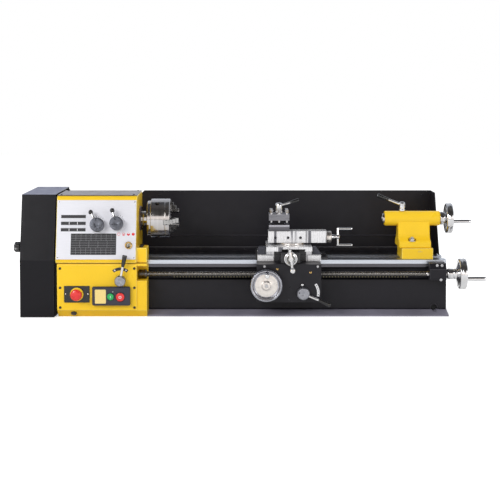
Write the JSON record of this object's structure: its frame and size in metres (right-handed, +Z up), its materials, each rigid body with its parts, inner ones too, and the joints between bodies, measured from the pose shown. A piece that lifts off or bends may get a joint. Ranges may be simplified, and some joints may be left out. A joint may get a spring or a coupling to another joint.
{
  "type": "metal lathe",
  "caption": "Bench-top metalworking lathe with geared headstock, three-jaw chuck, carriage with compound slide and tool post, and tailstock",
  "frame": {"origin": "centre of the flat underside of the bed's middle rib, level with the feet", "axes": "+X along the bed from the gear cover to the tailstock, -Y towards the operator, +Z up"},
  "size_m": [1.49, 0.4368, 0.38],
  "materials": {
    "yellow_paint": "semi-gloss",
    "black_paint": "satin",
    "ground_steel": "ground and polished",
    "chrome": "polished",
    "dark_steel": "oiled",
    "panel_aluminium": "satin",
    "black_plastic": "satin",
    "switch_box_plastic": "satin",
    "red_plastic": "gloss",
    "green_plastic": "gloss",
    "brass": "turned",
    "belt_rubber": "matt",
    "motor_paint": "satin"
  },
  "bodies": {
    "frame": {"bed": "black_paint", "rack": "dark_steel", "headstock_casting": "yellow_paint", "headstock_panel": "panel_aluminium", "control_box": "yellow_paint", "control_panel": "yellow_paint", "rear_guard": "black_paint", "spindle_bearing": "ground_steel", "motor": "motor_paint", "drive_belt": "belt_rubber", "gear_case_plate": "black_paint", "gear_quadrant": "dark_steel", "leadscrew_bracket": "black_paint", "leadscrew_bush": "dark_steel", "estop_housing": "black_plastic", "switch_box": "switch_box_plastic", "sight_glass": "brass"},
    "spindle_unit": {"spindle": "ground_steel", "spindle_pulley": "ground_steel", "spindle_gear": "ground_steel", "chuck_backplate": "ground_steel", "chuck_body": "ground_steel"},
    "jaw_1": {"chuck_jaw_1": "ground_steel"},
    "jaw_2": {"chuck_jaw_2": "ground_steel"},
    "jaw_3": {"chuck_jaw_3": "ground_steel"},
    "scroll_pinion": {"chuck_pinion": "ground_steel"},
    "motor_drive": {"motor_pulley": "ground_steel"},
    "idler": {"idler_gear": "ground_steel"},
    "leadscrew_unit": {"leadscrew": "ground_steel", "leadscrew_gear": "ground_steel", "leadscrew_handwheel": "chrome"},
    "cover": {"gear_cover": "black_paint"},
    "cover_latch": {"cover_knob": "black_plastic"},
    "feed_selector": {"feed_lever": "chrome"},
    "speed_selector_left": {"selector_lever_left": "chrome"},
    "speed_selector_right": {"selector_lever_right": "chrome"},
    "estop": {"estop_button": "red_plastic"},
    "start": {"start_button": "green_plastic"},
    "stop": {"stop_button": "red_plastic"},
    "carriage": {"saddle": "ground_steel", "apron": "black_paint"},
    "handwheel": {"carriage_handwheel": "chrome"},
    "rack_drive": {"rack_pinion": "ground_steel"},
    "nut_lever": {"half_nut_lever": "chrome"},
    "nut_upper": {"half_nut_upper": "brass"},
    "nut_lower": {"half_nut_lower": "brass"},
    "cross": {"cross_slide": "ground_steel"},
    "cross_crank": {"cross_screw": "chrome"},
    "swivel": {"compound_base": "ground_steel"},
    "compound": {"compound_slide": "ground_steel"},
    "compound_crank": {"compound_screw": "chrome"},
    "post": {"tool_post": "ground_steel"},
    "post_lever": {"tool_post_lever": "chrome"},
    "tailstock": {"tailstock_base": "yellow_paint", "tailstock_body": "yellow_paint"},
    "quill_unit": {"quill": "ground_steel"},
    "quill_wheel": {"tailstock_handwheel": "chrome"},
    "quill_lock": {"quill_lock_lever": "chrome"},
    "tail_clamp": {"tailstock_clamp_nut": "ground_steel"}
  },
  "joints": [
    {"name": "spindle_spin", "type": "hinge", "parent": "frame", "child": "spindle_unit", "pos_m": [-0.312, 0, 0.295], "axis": [1, 0, 0], "continuous": true},
    {"name": "motor_spin", "type": "hinge", "parent": "frame", "child": "motor_drive", "pos_m": [-0.636, 0.15, 0.245], "axis": [1, 0, 0], "continuous": true},
    {"name": "idler_spin", "type": "hinge", "parent": "frame", "child": "idler", "pos_m": [-0.607, -0.05971, 0.23104], "axis": [1, 0, 0], "continuous": true},
    {"name": "leadscrew_spin", "type": "hinge", "parent": "frame", "child": "leadscrew_unit", "pos_m": [0, -0.095, 0.1295], "axis": [1, 0, 0], "continuous": true},
    {"name": "jaw_1_slide", "type": "slide", "parent": "spindle_unit", "child": "jaw_1", "axis": [0, -0.9925, -0.1219], "range_m": [-0.008, 0.006]},
    {"name": "jaw_2_slide", "type": "slide", "parent": "spindle_unit", "child": "jaw_2", "axis": [0, 0.3907, 0.9205], "range_m": [-0.008, 0.006]},
    {"name": "jaw_3_slide", "type": "slide", "parent": "spindle_unit", "child": "jaw_3", "axis": [0, 0.6018, -0.7986], "range_m": [-0.008, 0.006]},
    {"name": "chuck_key_turn", "type": "hinge", "parent": "spindle_unit", "child": "scroll_pinion", "pos_m": [-0.279, -0.03611, 0.34292], "axis": [0, -0.6018, 0.7986], "range_deg": [-480, 360]},
    {"name": "cover_swing", "type": "hinge", "parent": "frame", "child": "cover", "pos_m": [-0.59015, 0.214, 0.19], "axis": [0, 0, -1], "range_deg": [0, 100]},
    {"name": "cover_knob_turn", "type": "hinge", "parent": "cover", "child": "cover_latch", "pos_m": [-0.7, -0.02, 0.204], "axis": [1, 0, 0], "range_deg": [-360, 0]},
    {"name": "feed_lever_turn", "type": "hinge", "parent": "frame", "child": "feed_selector", "pos_m": [-0.386, -0.16, 0.117], "axis": [0, 1, 0], "range_deg": [-45, 24]},
    {"name": "speed_left_turn", "type": "hinge", "parent": "frame", "child": "speed_selector_left", "pos_m": [-0.459, -0.12918, 0.28658], "axis": [0, -0.9679, 0.2511], "range_deg": [-54, 0]},
    {"name": "speed_right_turn", "type": "hinge", "parent": "frame", "child": "speed_selector_right", "pos_m": [-0.399, -0.12814, 0.29058], "axis": [0, -0.9679, 0.2511], "range_deg": [-36, 0]},
    {"name": "estop_press", "type": "slide", "parent": "frame", "child": "estop", "axis": [0, 1, 0], "range_m": [0, 0.005]},
    {"name": "start_press", "type": "slide", "parent": "frame", "child": "start", "axis": [0, 1, 0], "range_m": [0, 0.003], "stiffness_N_per_m": 800, "springref_m": -0.001},
    {"name": "stop_press", "type": "slide", "parent": "frame", "child": "stop", "axis": [0, 1, 0], "range_m": [0, 0.003], "stiffness_N_per_m": 800, "springref_m": -0.001},
    {"name": "carriage_travel", "type": "slide", "parent": "frame", "child": "carriage", "axis": [1, 0, 0], "range_m": [-0.2202, 0.0552]},
    {"name": "handwheel_turn", "type": "hinge", "parent": "carriage", "child": "handwheel", "pos_m": [0.066, -0.165, 0.103], "axis": [0, 1, 0], "range_deg": [-2521.01, 630.25]},
    {"name": "pinion_turn", "type": "hinge", "parent": "carriage", "child": "rack_drive", "pos_m": [0.102, -0.073, 0.1025], "axis": [0, 1, 0], "range_deg": [-240.08, 870.34]},
    {"name": "half_nut_turn", "type": "hinge", "parent": "carriage", "child": "nut_lever", "pos_m": [0.181, -0.15, 0.076], "axis": [0, 1, 0], "range_deg": [-50, 0]},
    {"name": "half_nut_upper_slide", "type": "slide", "parent": "carriage", "child": "nut_upper", "axis": [0, 0, 1], "range_m": [-0.0089, 0]},
    {"name": "half_nut_lower_slide", "type": "slide", "parent": "carriage", "child": "nut_lower", "axis": [0, 0, 1], "range_m": [0, 0.0089]},
    {"name": "cross_travel", "type": "slide", "parent": "carriage", "child": "cross", "axis": [0, 1, 0], "range_m": [-0.05, 0.04]},
    {"name": "cross_crank_turn", "type": "hinge", "parent": "carriage", "child": "cross_crank", "pos_m": [0.142, -0.14, 0.183], "axis": [0, 1, 0], "range_deg": [-4530, 3630]},
    {"name": "compound_swivel", "type": "hinge", "parent": "cross", "child": "swivel", "pos_m": [0.15, -0.014, 0.217], "axis": [0, 0, 1], "range_deg": [-45, 45]},
    {"name": "compound_travel", "type": "slide", "parent": "swivel", "child": "compound", "axis": [1, 0, 0], "range_m": [-0.03, 0.04]},
    {"name": "compound_crank_turn", "type": "hinge", "parent": "compound", "child": "compound_crank", "pos_m": [0.27, -0.014, 0.2365], "axis": [1, 0, 0], "range_deg": [-2730, 3630]},
    {"name": "tool_post_turn", "type": "hinge", "parent": "compound", "child": "post", "pos_m": [0.1085, -0.014, 0.285], "axis": [0, 0, 1], "continuous": true},
    {"name": "post_lever_turn", "type": "hinge", "parent": "compound", "child": "post_lever", "pos_m": [0.1085, -0.014, 0.33], "axis": [0, 0, 1], "range_deg": [-75, 75]},
    {"name": "tailstock_travel", "type": "slide", "parent": "frame", "child": "tailstock", "axis": [1, 0, 0], "range_m": [-0.05, 0.025]},
    {"name": "quill_travel", "type": "slide", "parent": "tailstock", "child": "quill_unit", "axis": [-1, 0, 0], "range_m": [-0.0002, 0.0602]},
    {"name": "quill_wheel_turn", "type": "hinge", "parent": "tailstock", "child": "quill_wheel", "pos_m": [0.65, 0, 0.295], "axis": [1, 0, 0], "range_deg": [0, 5400]},
    {"name": "quill_lock_turn", "type": "hinge", "parent": "tailstock", "child": "quill_lock", "pos_m": [0.504, 0, 0.335], "axis": [0, 0, 1], "range_deg": [-40, 50]},
    {"name": "tail_clamp_turn", "type": "hinge", "parent": "tailstock", "child": "tail_clamp", "pos_m": [0.531, -0.045, 0.232], "axis": [0, 0, 1], "range_deg": [-90, 90]}
  ],
  "couplings": [
    {"joint": "motor_spin", "follows": "spindle_spin", "ratio": 1.5957},
    {"joint": "idler_spin", "follows": "spindle_spin", "ratio": -0.4},
    {"joint": "leadscrew_spin", "follows": "spindle_spin", "ratio": 0.55556},
    {"joint": "jaw_2_slide", "follows": "jaw_1_slide", "ratio": 1},
    {"joint": "jaw_3_slide", "follows": "jaw_1_slide", "ratio": 1},
    {"joint": "chuck_key_turn", "follows": "jaw_1_slide", "rad_per_m": 1047.2},
    {"joint": "carriage_travel", "follows": "handwheel_turn", "m_per_rad": 0.005},
    {"joint": "pinion_turn", "follows": "handwheel_turn", "ratio": -0.33333},
    {"joint": "half_nut_upper_slide", "follows": "half_nut_turn", "m_per_rad": 0.010084},
    {"joint": "half_nut_lower_slide", "follows": "half_nut_turn", "m_per_rad": -0.010084},
    {"joint": "cross_crank_turn", "follows": "cross_travel", "rad_per_m": 1570.8},
    {"joint": "compound_crank_turn", "follows": "compound_travel", "rad_per_m": 1570.8},
    {"joint": "quill_travel", "follows": "quill_wheel_turn", "m_per_rad": 0.00063662}
  ]
}
